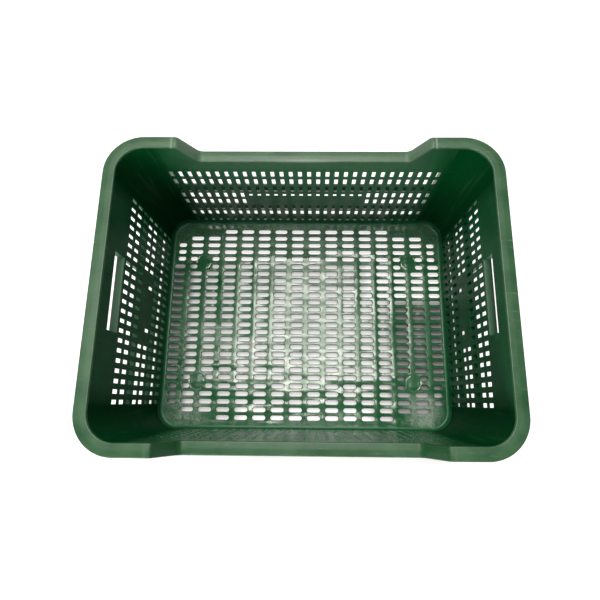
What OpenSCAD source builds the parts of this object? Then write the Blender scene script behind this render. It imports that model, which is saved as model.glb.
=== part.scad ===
// Stacking harvest tub with slotted floor, perforated walls and raised ends.
// X runs along the tub, Y across it, Z up; the origin is under the middle of the base.

/* [Overall] */
// Length over the rim
tub_length = 502; // [440:1:600]
// Width over the rim
tub_width = 388; // [340:1:460]
// Height of the raised ends
tub_height = 245; // [225:1:300]

/* [Rim] */
// Width of the flat rim band
rim_width = 16; // [12:0.5:20]
// Thickness of the rim band
rim_thickness = 3; // [2:0.1:4]
// How far the long sides' rim lies below the raised ends
rim_drop = 33; // [20:1:40]
// Length of a raised end, measured to the sharp foot of the ramp
raised_end_length = 111.5; // [95:0.5:130]
// Run of a ramp between its sharp foot and its sharp crest
ramp_run = 21; // [14:1:30]
// Radius at the foot of a ramp, on the upper face
ramp_foot_radius = 10; // [4:0.5:14]
// Radius at the crest of a ramp, on the lower face
ramp_crest_radius = 7; // [0.5:0.5:9]
// Depth of the turned-down skirt, rim band included
skirt_depth = 16; // [10:1:20]
// Thickness of the skirt
skirt_thickness = 2.4; // [1.5:0.1:3.5]
// Thickness of the gussets behind the skirt
gusset_thickness = 2; // [1.2:0.1:3]
// Spacing of the gussets
gusset_pitch = 52; // [30:1:80]

/* [Walls] */
// Thickness of walls and corner posts
wall_thickness = 2.4; // [1.8:0.1:3.2]
// Outward lean of the walls in degrees
wall_lean = 0.75; // [0.3:0.05:1.5]
// Inside radius of the corners at the top
corner_radius = 33; // [26:1:42]

/* [Wall holes] */
// Width of a wall hole
hole_width = 5.4; // [4:0.1:8]
// Height of a wall hole
hole_height = 16; // [10:0.5:17]
// Spacing of the holes along the wall
hole_pitch = 12.88; // [10:0.01:16]
// Spacing of the rows of holes
row_pitch = 20.7; // [18:0.1:26]
// Solid strip between the hand-hold sill and the top row
top_strip = 3.3; // [2:0.1:8]
// Height of the short slits above a long label panel
slit_height = 9; // [6:0.5:14]

/* [Hand-holds] */
// Length of the hand-hold slot
grip_length = 100; // [80:1:120]
// Height of the hand-hold slot
grip_height = 26; // [22:1:32]
// Height of the rim above the top of the slot
grip_drop = 27; // [20:1:34]
// Depth of the sill under the hand
sill_depth = 10.5; // [8:0.5:13]
// Thickness of the sill
sill_thickness = 3; // [2:0.1:4]

/* [Outer ribs] */
// Reach of the outer bands, from the inner face of the wall
band_reach = 11.5; // [8:0.5:14]
// Height of a band's edge
band_thickness = 3; // [2:0.1:4]
// Thickness of an upright rib
rib_thickness = 2.4; // [1.5:0.1:3.5]

/* [Base] */
// Height of the floor's upper face above the ground
base_height = 12; // [9:0.5:20]
// Thickness of the floor
floor_thickness = 3; // [2:0.1:5]
// Height of the stacking ledge above the floor
ledge_rise = 12; // [7:0.5:12]
// Thickness of the stacking ledge
ledge_thickness = 3; // [2:0.1:4]
// Radius where the walls meet the floor
cove_radius = 4; // [2:0.5:5]
// Thickness of the ribs under the floor
under_rib_thickness = 3; // [2:0.1:4]
// Gap between the ribs under the floor and the ground
under_rib_lift = 2; // [1:0.5:4]

/* [Floor slots] */
// Length of a floor slot
slot_length = 21; // [16:0.5:23]
// Width of a floor slot
slot_width = 7; // [4:0.1:8]
// Spacing of the slots along the tub
slot_pitch = 29.24; // [26:0.01:34]
// Spacing of the slots across the tub
slot_row_pitch = 12.48; // [11:0.01:15]
// Extra width of the bars over the ribs under the floor
wide_bar_extra = 1.5; // [0.5:0.1:3]
// Plain edge of the floor beside the long walls
floor_edge = 9; // [6:0.5:14]
// Length of the last slot of a row
end_slot_length = 18.5; // [12:0.5:19]
// Length of the last slot of a row near the corners
corner_slot_length = 13; // [9:0.5:15]
// Length of the slots beside a round foot
foot_slot_length = 12.5; // [8:0.5:14]
// Radius of a round foot under the floor
foot_radius = 12; // [9:0.5:14]
// Wall of a round foot
foot_wall = 2.4; // [1.5:0.1:4]

/* [Hidden] */
// Facets of drawn circles
$fn = 64;
// Steps in a small rounded corner
arc_steps = 4;
// Overrun of a cut past the face it opens
overrun = 1;
// Colours of the walls, the rim, the floor and the outer ribs
wall_colour = "#0f4a2c";
rim_colour = "#4f8560";
floor_colour = "#2f6b47";
rib_colour = "#1c5a37";

// Bays that the outer bands divide the walls into; the label panel heads the second one
bay_count = 3;
// Columns each side of the middle that a label panel covers, and the pair left open in a short one
long_label_columns = 7;
short_label_columns = 4;
short_label_open_column = 3;
// Floor rows and slot columns between a round foot and the walls
rows_past_foot = 5;
columns_past_foot = 2;
// Slot columns left out at the ends of the last two floor rows
last_row_lost_columns = 3;
next_row_lost_columns = 1;
// Bars over the ribs under the floor
wide_bar_count = 3;

// Half distances between the centres of the rounded corners
corner_x = tub_length / 2 - rim_width - corner_radius;
corner_y = tub_width / 2 - rim_width - corner_radius;
// Distances from those centres to the faces of the wall at a height
function inner_r(z) = corner_radius - (tub_height - z) * tan(wall_lean);
function outer_r(z) = inner_r(z) + wall_thickness;
rim_r = corner_radius + rim_width;
reach_r = inner_r(base_height) + band_reach;

// Heights
high_under = tub_height - rim_thickness;
low_top = tub_height - rim_drop;
low_under = low_top - rim_thickness;
floor_under = base_height - floor_thickness;
ledge_top = base_height + ledge_rise;
grip_top = tub_height - grip_drop;
sill_top = grip_top - grip_height;
sill_under = sill_top - sill_thickness;
grip_half = grip_length / 2;

// Rows and columns of wall holes
row_zone = sill_under - top_strip - ledge_top;
row_count = floor((row_zone + row_pitch - hole_height) / row_pitch);
function row_z(row) = sill_under - top_strip - hole_height / 2 - (row - 1) * row_pitch;
function half_columns(half) = floor((half - wall_thickness) / hole_pitch);
function column_x(column) = (column - 1 / 2) * hole_pitch;
long_columns = half_columns(corner_x);
short_columns = half_columns(corner_y);
// Bands lie below the last row of each bay but the lowest, in the bar between two rows
bar_height = row_pitch - hole_height;
band_gap = (bar_height - band_thickness) / 2;
rows_per_bay = ceil(row_count / bay_count);
band_count = floor((row_count - 1) / rows_per_bay);
label_rows = [rows_per_bay + 1, rows_per_bay + 2];
function band_top(bay) = row_z(bay * rows_per_bay) - hole_height / 2 - band_gap;

// Ramp between the low and the raised rim
low_rim_half = tub_length / 2 - raised_end_length;
ramp_angle = atan2(rim_drop, ramp_run);
foot_tangent = ramp_foot_radius * tan(ramp_angle / 2);
crest_outer = ramp_crest_radius + rim_thickness;
crest_tangent = crest_outer * tan(ramp_angle / 2);
ramp_start = low_rim_half - foot_tangent;
ramp_end = low_rim_half + ramp_run + crest_tangent;

// Floor
floor_half_x = corner_x + inner_r(base_height);
floor_half_y = corner_y + inner_r(base_height);
wide_bar_room = wide_bar_count / 2 * wide_bar_extra;
floor_rows = floor((floor_half_y - floor_edge - wide_bar_room) / slot_row_pitch);
floor_columns = floor((floor_half_x + slot_pitch / 2 - end_slot_length / 2) / slot_pitch);
inner_floor_rows = floor_rows - rows_past_foot;
foot_column = floor_columns - columns_past_foot;
foot_x = foot_column * slot_pitch;
foot_y = inner_floor_rows * slot_row_pitch + wide_bar_extra;
function floor_row_y(row) = wide_bar_extra / 2 + (row - 1 / 2) * slot_row_pitch
    + (row > inner_floor_rows ? wide_bar_extra : 0);
function lost_columns(row) = row == floor_rows ? last_row_lost_columns
    : row == floor_rows - 1 ? next_row_lost_columns : 0;
function beside_foot(row) = row == inner_floor_rows || row == inner_floor_rows + 1;
function end_length(row) = row > inner_floor_rows ? corner_slot_length : end_slot_length;
// Inner end and length of a slot
function slot_start(column, row) = (column - 1 / 2) * slot_pitch - slot_length / 2
    + (column == foot_column + 1 && beside_foot(row) ? slot_length - foot_slot_length : 0);
function slot_run(column, row) = column == floor_columns ? end_length(row)
    : (column == foot_column || column == foot_column + 1) && beside_foot(row) ? foot_slot_length
    : slot_length;

// Sides are drawn with X along the side and Y outward from the line of the corner centres
module on_back() { translate([0, corner_y, 0]) children(); }
module on_front() { rotate([0, 0, 180]) on_back() children(); }
module on_right() { rotate([0, 0, -90]) translate([0, corner_x, 0]) children(); }
module on_left() { rotate([0, 0, 180]) on_right() children(); }

// What is drawn once for one quarter of the tub is mirrored to the others
module on_back_right() { children(); }
module on_back_left() { mirror([1, 0, 0]) children(); }
module on_front_right() { mirror([0, 1, 0]) children(); }
module on_front_left() { rotate([0, 0, 180]) children(); }

// A profile of distance and height, drawn straight along a side or round a corner
module along(from, to) {
    translate([from, 0, 0]) rotate([90, 0, 90]) linear_extrude(to - from) children();
}
module round_corner() {
    translate([corner_x, corner_y, 0]) rotate_extrude(angle = 90) children();
}

// A plate in the leaning plane of the wall, drawn as length and height above the ledge
module wall_plate(from_z) {
    translate([0, inner_r(from_z), from_z + wall_thickness * sin(wall_lean)])
        rotate([90 - wall_lean, 0, 0])
            translate([0, 0, -wall_thickness])
                linear_extrude(wall_thickness) children();
}
// Length up the leaning wall for a rise in height, less the sliver that its tilted foot takes up
function up_wall(rise) = (rise - wall_thickness * sin(wall_lean)) / cos(wall_lean);

// Arc of points about a centre
function arc(centre, radius, from, to) = [
    for (step = [0 : arc_steps])
        let (turn = from + (to - from) * step / arc_steps)
        centre + radius * [cos(turn), sin(turn)]
];

// Line of the ramp at a depth under the rim's upper face
foot_centre = [ramp_start, low_top + ramp_foot_radius];
crest_centre = [ramp_end, tub_height - crest_outer];
function ramp_line(depth) = concat(
    arc(foot_centre, ramp_foot_radius + depth, -90, ramp_angle - 90),
    arc(crest_centre, crest_outer - depth, ramp_angle + 90, 90)
);
function reversed(points) = [for (index = [len(points) - 1 : -1 : 0]) points[index]];
function lowered(points, fall) = [for (point = points) [point[0], point[1] - fall]];

// Profile of the base: the ring that stands on the ground, the stacking ledge and the cove at the floor
base_in = inner_r(base_height);
base_out = outer_r(base_height);
module base_profile() {
    polygon(concat(
        [[base_in, 0], [base_out, 0], [outer_r(ledge_top - ledge_thickness), ledge_top - ledge_thickness],
         [reach_r, ledge_top - ledge_thickness], [reach_r, ledge_top], [inner_r(ledge_top), ledge_top]],
        arc([base_in - cove_radius, base_height + cove_radius], cove_radius, 0, -90),
        [[base_in, base_height]]
    ));
}

// Profile of a corner post: the leaning wall with the bands round it
module corner_profile() {
    polygon(concat(
        [[inner_r(high_under), high_under], [inner_r(ledge_top), ledge_top], [outer_r(ledge_top), ledge_top]],
        [for (bay = [band_count : -1 : 1]) each [
            [outer_r(band_top(bay) - band_thickness), band_top(bay) - band_thickness],
            [reach_r, band_top(bay) - band_thickness],
            [reach_r, band_top(bay)],
            [outer_r(band_top(bay)), band_top(bay)]
        ]],
        [[outer_r(high_under), high_under]]
    ));
}

// Profile of the rim: flat band and turned-down skirt
module rim_profile(top) {
    polygon([
        [inner_r(top - rim_thickness), top], [rim_r, top], [rim_r, top - skirt_depth],
        [rim_r - skirt_thickness, top - skirt_depth], [rim_r - skirt_thickness, top - rim_thickness],
        [inner_r(top - rim_thickness), top - rim_thickness]
    ]);
}

// Gussets between the wall and the skirt, in a row along a rail, clear of its middle
module gussets(half, top, clear_half) {
    count = floor((half - gusset_thickness) / gusset_pitch);
    under = top - rim_thickness;
    for (index = [-count : count]) {
        x = index * gusset_pitch;
        if (abs(x) > clear_half)
            along(x - gusset_thickness / 2, x + gusset_thickness / 2)
                polygon([
                    [outer_r(under), under], [rim_r - skirt_thickness, under],
                    [rim_r - skirt_thickness, top - skirt_depth], [outer_r(under), under - rim_thickness]
                ]);
    }
}

// Rectangular hole of the wall, by its middle height and its height
module wall_hole(x, z, height) {
    translate([x, z]) square([hole_width, height], center = true);
}

// Pattern of holes in a wall: the label rows keep a blank panel in the middle
module hole_pattern(columns, label_columns, slits, open_column) {
    for (row = [1 : row_count], side = [-1, 1], column = [1 : columns]) {
        x = side * column_x(column);
        z = row_z(row) - ledge_top;
        first_label = row == label_rows[0];
        label = (first_label || row == label_rows[1]) && column <= label_columns;
        if (!label) wall_hole(x, z, hole_height);
        if (label && slits && first_label) wall_hole(x, z, slit_height);
        if (label && !first_label && column == open_column) wall_hole(x, z, hole_height);
    }
}

module long_wall() {
    color(wall_colour) wall_plate(ledge_top) difference() {
        translate([-corner_x, 0]) square([2 * corner_x, up_wall(low_under - ledge_top)]);
        hole_pattern(long_columns, long_label_columns, true, 0);
    }
}

module short_wall() {
    color(wall_colour) wall_plate(ledge_top) difference() {
        translate([-corner_y, 0]) square([2 * corner_y, up_wall(sill_under - ledge_top)]);
        hole_pattern(short_columns, short_label_columns, false, short_label_open_column);
    }
}

// Raised part of a long wall between the ramp and the corner post
module shoulder() {
    color(wall_colour) on_back() wall_plate(low_under)
        polygon(concat(
            [[corner_x, 0], [corner_x, up_wall(high_under - low_under)]],
            [for (point = reversed(ramp_line(rim_thickness)))
                [point[0], max(up_wall(point[1] - low_under), 0)]]
        ));
}

module corner_post() {
    color(wall_colour) round_corner() corner_profile();
}

// Wall beside a hand-hold, with the upright edge of the slot
module cheek() {
    edge_from = outer_r(sill_under) - wall_thickness / 2;
    color(wall_colour) on_right() mirror([1, 0, 0]) {
        wall_plate(sill_under)
            translate([grip_half, 0])
                square([corner_y - grip_half, up_wall(high_under - sill_under)]);
        along(grip_half, grip_half + rib_thickness)
            polygon([
                [edge_from, sill_under], [sill_reach, sill_under],
                [sill_reach, high_under - skirt_depth], [edge_from, high_under - skirt_depth]
            ]);
    }
}

// Bar above the hand-hold slot, which the fingers close round
module grip() {
    color(wall_colour) on_right() wall_plate(grip_top)
        translate([-grip_half, 0]) square([grip_length, up_wall(high_under - grip_top)]);
}

// Ledge under the hand-hold slot
sill_reach = inner_r(sill_under) + sill_depth;
module sill() {
    color(rib_colour) on_right() along(-grip_half, grip_half)
        polygon([
            [inner_r(sill_under), sill_under], [sill_reach, sill_under],
            [sill_reach, sill_top], [inner_r(sill_under), sill_top]
        ]);
}

// Upright rib on the outside of a wall between two heights
module upright(x, from_z, to_z) {
    along(x - rib_thickness / 2, x + rib_thickness / 2)
        polygon([
            [outer_r(from_z), from_z], [reach_r, from_z], [reach_r, to_z], [outer_r(to_z), to_z]
        ]);
}

// Lattice of bands and upright ribs on the outside of a wall; the end uprights stand beside the last holes
module rib_lattice(half, frame_x, frame_top) {
    end_x = column_x(half_columns(half)) + (hole_width + rib_thickness) / 2;
    for (bay = [1 : band_count])
        along(-half, half)
            polygon([
                [outer_r(band_top(bay) - band_thickness), band_top(bay) - band_thickness],
                [reach_r, band_top(bay) - band_thickness],
                [reach_r, band_top(bay)],
                [outer_r(band_top(bay)), band_top(bay)]
            ]);
    for (side = [-1, 1]) {
        upright(side * end_x, ledge_top, frame_top);
        upright(side * frame_x, band_top(band_count), frame_top);
    }
}

module long_ribs() {
    color(rib_colour)
        rib_lattice(corner_x, long_label_columns * hole_pitch, low_top - skirt_depth);
}

module short_ribs() {
    color(rib_colour)
        rib_lattice(corner_y, grip_half + rib_thickness / 2, sill_under);
}

// Rails, ramps and corners of the rim
module low_rim() {
    color(rim_colour) {
        along(-ramp_start, ramp_start) rim_profile(low_top);
        gussets(ramp_start, low_top, 0);
    }
}

module end_rim() {
    color(rim_colour) {
        along(-corner_y, corner_y) rim_profile(tub_height);
        gussets(corner_y, tub_height, grip_half + gusset_thickness);
    }
}

module ramp() {
    band_in = inner_r(low_under);
    under = ramp_line(rim_thickness);
    color(rim_colour) on_back() {
        translate([0, rim_r, 0]) rotate([90, 0, 0]) linear_extrude(rim_r - band_in)
            polygon(concat(ramp_line(0), reversed(under)));
        translate([0, rim_r, 0]) rotate([90, 0, 0]) linear_extrude(skirt_thickness)
            polygon(concat(under, reversed(lowered(under, skirt_depth - rim_thickness))));
    }
}

module rim_corner() {
    color(rim_colour) {
        on_back() along(ramp_end, corner_x) rim_profile(tub_height);
        round_corner() rim_profile(tub_height);
    }
}

// Base rails and corners
module base_rail(half) {
    color(rib_colour) along(-half, half) base_profile();
}

module base_corner() {
    color(rib_colour) round_corner() base_profile();
}

// Slotted floor
module floor_outline() {
    square([2 * floor_half_x, 2 * corner_y], center = true);
    square([2 * corner_x, 2 * floor_half_y], center = true);
    for (x = [-corner_x, corner_x], y = [-corner_y, corner_y])
        translate([x, y]) circle(base_in);
}

module floor_slot(length) {
    translate([slot_width / 2, -slot_width / 2]) square([length - slot_width, slot_width]);
    for (x = [slot_width / 2, length - slot_width / 2])
        translate([x, 0]) circle(slot_width / 2);
}

module floor_grid() {
    color(floor_colour) translate([0, 0, floor_under]) linear_extrude(floor_thickness) difference() {
        floor_outline();
        for (side_x = [0, 1], side_y = [0, 1], row = [1 : floor_rows])
            mirror([side_x, 0]) mirror([0, side_y])
                for (column = [1 : floor_columns - lost_columns(row)])
                    translate([slot_start(column, row), floor_row_y(row)])
                        floor_slot(slot_run(column, row));
    }
}

// Round foot under the floor, and the ribs between the feet
module foot() {
    color(floor_colour) translate([foot_x, foot_y, 0]) difference() {
        cylinder(r = foot_radius, h = floor_under);
        translate([0, 0, -overrun]) cylinder(r = foot_radius - foot_wall, h = floor_under + 2 * overrun);
    }
}

module under_rib(y) {
    translate([-floor_half_x, y - under_rib_thickness / 2, under_rib_lift])
        cube([2 * floor_half_x, under_rib_thickness, floor_under - under_rib_lift]);
}

module floor_rib(y) {
    color(floor_colour) difference() {
        under_rib(y);
        for (x = [-foot_x, foot_x])
            translate([x, y, 0]) cylinder(r = foot_radius, h = floor_under + overrun);
    }
}

module floor_spine() {
    color(floor_colour) difference() {
        translate([-under_rib_thickness / 2, -floor_half_y, under_rib_lift])
            cube([under_rib_thickness, 2 * floor_half_y, floor_under - under_rib_lift]);
        for (y = [-foot_y, 0, foot_y]) under_rib(y);
    }
}

floor_grid();
on_front_left() foot();  // foot_front_left
on_front_right() foot();  // foot_front_right
on_back_left() foot();  // foot_back_left
on_back_right() foot();  // foot_back_right
floor_spine();
floor_rib(-foot_y);  // floor_rib_front
color(floor_colour) under_rib(0);  // floor_rib_middle
floor_rib(foot_y);  // floor_rib_back
on_front() base_rail(corner_x);  // base_rail_front
on_back() base_rail(corner_x);  // base_rail_back
on_left() base_rail(corner_y);  // base_rail_left
on_right() base_rail(corner_y);  // base_rail_right
on_front_left() base_corner();  // base_corner_front_left
on_front_right() base_corner();  // base_corner_front_right
on_back_left() base_corner();  // base_corner_back_left
on_back_right() base_corner();  // base_corner_back_right
on_front() long_wall();  // wall_front
on_back() long_wall();  // wall_back
on_left() short_wall();  // wall_left
on_right() short_wall();  // wall_right
on_front_left() shoulder();  // shoulder_front_left
on_front_right() shoulder();  // shoulder_front_right
on_back_left() shoulder();  // shoulder_back_left
on_back_right() shoulder();  // shoulder_back_right
on_front_left() corner_post();  // corner_front_left
on_front_right() corner_post();  // corner_front_right
on_back_left() corner_post();  // corner_back_left
on_back_right() corner_post();  // corner_back_right
on_front_left() cheek();  // cheek_front_left
on_front_right() cheek();  // cheek_front_right
on_back_left() cheek();  // cheek_back_left
on_back_right() cheek();  // cheek_back_right
on_back_left() grip();  // grip_left
on_back_right() grip();  // grip_right
on_back_left() sill();  // sill_left
on_back_right() sill();  // sill_right
on_front() long_ribs();  // ribs_front
on_back() long_ribs();  // ribs_back
on_left() short_ribs();  // ribs_left
on_right() short_ribs();  // ribs_right
on_front() low_rim();  // rim_front
on_back() low_rim();  // rim_back
on_left() end_rim();  // rim_left
on_right() end_rim();  // rim_right
on_front_left() ramp();  // ramp_front_left
on_front_right() ramp();  // ramp_front_right
on_back_left() ramp();  // ramp_back_left
on_back_right() ramp();  // ramp_back_right
on_front_left() rim_corner();  // rim_corner_front_left
on_front_right() rim_corner();  // rim_corner_front_right
on_back_left() rim_corner();  // rim_corner_back_left
on_back_right() rim_corner();  // rim_corner_back_right
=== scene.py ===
"""Looks of the grape harvest tub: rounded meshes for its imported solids, plastic, light and camera."""
import math

import bmesh
import bpy
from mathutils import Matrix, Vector


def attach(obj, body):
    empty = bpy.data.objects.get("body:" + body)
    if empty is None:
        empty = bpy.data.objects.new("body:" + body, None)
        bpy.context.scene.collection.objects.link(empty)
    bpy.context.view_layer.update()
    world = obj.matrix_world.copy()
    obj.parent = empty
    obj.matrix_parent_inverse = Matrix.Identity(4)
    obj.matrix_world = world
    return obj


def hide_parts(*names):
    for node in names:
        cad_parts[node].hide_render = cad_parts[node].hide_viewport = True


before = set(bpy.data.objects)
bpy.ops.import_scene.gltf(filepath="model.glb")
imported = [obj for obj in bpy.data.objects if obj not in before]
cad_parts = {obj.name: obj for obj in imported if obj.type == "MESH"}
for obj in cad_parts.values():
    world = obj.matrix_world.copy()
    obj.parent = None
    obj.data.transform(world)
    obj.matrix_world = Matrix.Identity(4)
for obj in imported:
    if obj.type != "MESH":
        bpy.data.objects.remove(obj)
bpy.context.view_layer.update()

# Sizes of the solids, in millimetres
MM = 0.001
TUB_LENGTH = 502
TUB_WIDTH = 388
TUB_HEIGHT = 245
RIM_WIDTH = 16
RIM_THICKNESS = 3
RIM_DROP = 33
RAISED_END = 111.5
RAMP_RUN = 21
RAMP_FOOT_RADIUS = 10
RAMP_CREST_RADIUS = 7
SKIRT_DEPTH = 16
SKIRT_THICKNESS = 2.4
GUSSET_THICKNESS = 2
GUSSET_PITCH = 52
WALL_THICKNESS = 2.4
WALL_LEAN = math.radians(0.75)
CORNER_RADIUS = 33
HOLE_WIDTH = 5.4
HOLE_HEIGHT = 16
HOLE_PITCH = 12.88
ROW_PITCH = 20.7
ROW_COUNT = 8
TOP_STRIP = 3.3
SLIT_HEIGHT = 9
LONG_COLUMNS = 15
SHORT_COLUMNS = 11
LABEL_ROWS = (4, 5)
LONG_LABEL_COLUMNS = 7
SHORT_LABEL_COLUMNS = 4
SHORT_LABEL_OPEN_COLUMN = 3
ROWS_PER_BAY = 3
GRIP_HALF = 50
GRIP_HEIGHT = 26
GRIP_DROP = 27
SILL_DEPTH = 10.5
SILL_THICKNESS = 3
BAND_REACH = 11.5
BAND_THICKNESS = 3
RIB_THICKNESS = 2.4
BASE_HEIGHT = 12
FLOOR_THICKNESS = 3
LEDGE_RISE = 12
LEDGE_THICKNESS = 3
COVE_RADIUS = 4
UNDER_RIB_THICKNESS = 3
UNDER_RIB_LIFT = 2
SLOT_LENGTH = 21
SLOT_WIDTH = 7
SLOT_PITCH = 29.24
SLOT_ROW_PITCH = 12.48
WIDE_BAR_EXTRA = 1.5
END_SLOT_LENGTH = 18.5
CORNER_SLOT_LENGTH = 13
FOOT_SLOT_LENGTH = 12.5
FLOOR_ROWS = 13
FLOOR_COLUMNS = 8
INNER_FLOOR_ROWS = 8
FOOT_COLUMN = 6
LAST_ROW_LOST = 3
NEXT_ROW_LOST = 1
FOOT_RADIUS = 12
FOOT_WALL = 2.4

# Roundings that only the looks have, in millimetres
RIM_INNER_ROUND = 1.4
RIM_OUTER_ROUND = 1.8
RIM_FALL = 0.8
RIM_FALL_WIDTH = 8
RIM_FALL_ROUND = 25
EDGE_ROUND = 0.7
GRIP_ROUND = 1.2
HOLE_ROUND = 0.6
SLOT_ROUND = 1.2
# Length of flat wall that a corner post takes with it
POST_FLAT = 1
# Depth that a rib is let into what carries it
LET_IN = 0.3
# Rise of a gusset's lower end over the skirt's edge, and places of gussets in pitches
GUSSET_LIFT = 1
LONG_SIDE_GUSSETS = (-2, -1, 1, 2)
SHORT_SIDE_GUSSETS = (-2, 2)
# Steps of a small rounding, of a ramp's bend or the cove, of a tub corner, a slot end, a foot and a bevel
ARC_STEPS = 4
BEND_STEPS = 8
CORNER_STEPS = 24
SLOT_STEPS = 8
FOOT_STEPS = 32
BEVEL_STEPS = 3
# Angle between two faces from which their edge stays sharp
SHARP_ANGLE = math.radians(40)
# Points nearer to each other than this are one, and lines are told apart to this many decimals
MERGE_DISTANCE = 0.001
LINE_DECIMALS = 4

# Places worked out from the sizes
CORNER_X = TUB_LENGTH / 2 - RIM_WIDTH - CORNER_RADIUS
CORNER_Y = TUB_WIDTH / 2 - RIM_WIDTH - CORNER_RADIUS
RIM_R = CORNER_RADIUS + RIM_WIDTH
HIGH_UNDER = TUB_HEIGHT - RIM_THICKNESS
LOW_TOP = TUB_HEIGHT - RIM_DROP
LOW_UNDER = LOW_TOP - RIM_THICKNESS
FLOOR_UNDER = BASE_HEIGHT - FLOOR_THICKNESS
LEDGE_TOP = BASE_HEIGHT + LEDGE_RISE
LEDGE_UNDER = LEDGE_TOP - LEDGE_THICKNESS
GRIP_TOP = TUB_HEIGHT - GRIP_DROP
SILL_TOP = GRIP_TOP - GRIP_HEIGHT
SILL_UNDER = SILL_TOP - SILL_THICKNESS
RAMP_ANGLE = math.atan2(RIM_DROP, RAMP_RUN)
RAMP_FOOT_X = TUB_LENGTH / 2 - RAISED_END
RAMP_START = RAMP_FOOT_X - RAMP_FOOT_RADIUS * math.tan(RAMP_ANGLE / 2)
RAMP_END = RAMP_FOOT_X + RAMP_RUN + RAMP_CREST_RADIUS * math.tan(RAMP_ANGLE / 2)
FOOT_X = FOOT_COLUMN * SLOT_PITCH
FOOT_Y = INNER_FLOOR_ROWS * SLOT_ROW_PITCH + WIDE_BAR_EXTRA

# Outward direction of each side and distance of its line of corner centres
SIDES = {
    "back": (Vector((0, 1)), CORNER_Y),
    "left": (Vector((-1, 0)), CORNER_X),
    "front": (Vector((0, -1)), CORNER_Y),
    "right": (Vector((1, 0)), CORNER_X),
}
LONG_SIDES = ("front", "back")
SHORT_SIDES = ("left", "right")
# Corners in the order in which their outward directions turn, a quarter each
CORNERS = {"back_right": (1, 1), "back_left": (-1, 1), "front_left": (-1, -1), "front_right": (1, -1)}


def inner_r(height):
    """Distance of the wall's inner face from the line of corner centres."""
    return CORNER_RADIUS - (TUB_HEIGHT - height) * math.tan(WALL_LEAN)


def outer_r(height):
    return inner_r(height) + WALL_THICKNESS


REACH_R = inner_r(BASE_HEIGHT) + BAND_REACH
SILL_REACH = inner_r(SILL_UNDER) + SILL_DEPTH
FLOOR_R = inner_r(BASE_HEIGHT)
FLOOR_HALF_X = CORNER_X + FLOOR_R
FLOOR_HALF_Y = CORNER_Y + FLOOR_R


def row_z(row):
    return SILL_UNDER - TOP_STRIP - HOLE_HEIGHT / 2 - (row - 1) * ROW_PITCH


def column_x(column):
    return (column - 1 / 2) * HOLE_PITCH


def band_heights():
    """Lower and upper height of each outer band, from the top down."""
    gap = (ROW_PITCH - HOLE_HEIGHT - BAND_THICKNESS) / 2
    tops = [row_z(row) - HOLE_HEIGHT / 2 - gap for row in range(ROWS_PER_BAY, ROW_COUNT, ROWS_PER_BAY)]
    return [(top - BAND_THICKNESS, top) for top in tops]


def both_edges(places, size):
    """Lower and upper edge of something of a size at each place."""
    return [place + half for place in places for half in (-size / 2, size / 2)]


def tangent_of(outward):
    return Vector((-outward.y, outward.x))


def spot(side, along, out, height):
    """Point by its place along a side, its distance outward and its height."""
    outward, base = SIDES[side]
    flat = tangent_of(outward) * along + outward * (base + out)
    return Vector((flat.x, flat.y, height))


def rounded(corners):
    """Closed outline through corners (a, b, radius), each turned into an arc of its radius."""
    outline = []
    for index, (a, b, radius) in enumerate(corners):
        here = Vector((a, b))
        if not radius:
            outline.append(here)
            continue
        back = (Vector(corners[index - 1][:2]) - here).normalized()
        ahead = (Vector(corners[(index + 1) % len(corners)][:2]) - here).normalized()
        half = back.angle(ahead) / 2
        centre = here + (back + ahead).normalized() * radius / math.sin(half)
        start = here + back * radius / math.tan(half) - centre
        end = here + ahead * radius / math.tan(half) - centre
        swing = math.atan2(start.x * end.y - start.y * end.x, start.dot(end))
        for step in range(ARC_STEPS + 1):
            turn = swing * step / ARC_STEPS
            cos, sin = math.cos(turn), math.sin(turn)
            outline.append(centre + Vector((start.x * cos - start.y * sin, start.x * sin + start.y * cos)))
    return outline


def upright_loop(centre, outward, outline):
    """Points of an outline of distance and height, set upright at a centre in an outward direction."""
    return [(centre + outward * out).to_3d() + Vector((0, 0, height)) for out, height in outline]


def skin(bm, loops, closed=False):
    """Faces between successive loops of points; the ends meet if closed, and are capped if not."""
    rings = [[bm.verts.new(point * MM) for point in loop] for loop in loops]
    for index in range(len(rings) if closed else len(rings) - 1):
        one = rings[index]
        two = rings[(index + 1) % len(rings)]
        for place in range(len(one)):
            bm.faces.new((one[place - 1], one[place], two[place], two[place - 1]))
    if not closed:
        bm.faces.new(rings[0])
        bm.faces.new(rings[-1])


def piece(name, bm, nodes, slot, bevel=0):
    """Object from a mesh that stands for some nodes; weighted edges are rounded by up to the bevel."""
    bmesh.ops.remove_doubles(bm, verts=bm.verts, dist=MERGE_DISTANCE * MM)
    bmesh.ops.recalc_face_normals(bm, faces=bm.faces)
    mesh = bpy.data.meshes.new(name)
    bm.to_mesh(mesh)
    bm.free()
    mesh.shade_smooth()
    mesh.set_sharp_from_angle(angle=SHARP_ANGLE)
    made = bpy.data.objects.new(name, mesh)
    bpy.context.scene.collection.objects.link(made)
    mesh.materials.append(MATERIALS[slot])
    if bevel:
        rounding = made.modifiers.new("rounded_edges", "BEVEL")
        rounding.limit_method = "WEIGHT"
        rounding.width = bevel * MM
        rounding.segments = BEVEL_STEPS
        rounding.harden_normals = True
    else:
        made.modifiers.new("flat_faces", "WEIGHTED_NORMAL").keep_sharp = True
    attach(made, "root")
    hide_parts(*nodes)


# Materials

# Limits between which a mark changes, places and depths are in millimetres, wear, painted light and shares
# from 0 to 1

# Painted highlight along the crest of each ramp: distance past it, limits, strength and share at the front
CREST_MARK_PAST = 3
CREST_MARK_LIMITS = (0.6, 2.2)
CREST_MARK = 0.38
CREST_FRONT_SHARE = 0.15
# Places in Y between which the front of the tub gives way to its back
FRONT_TO_BACK = (-50, 50)
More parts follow.
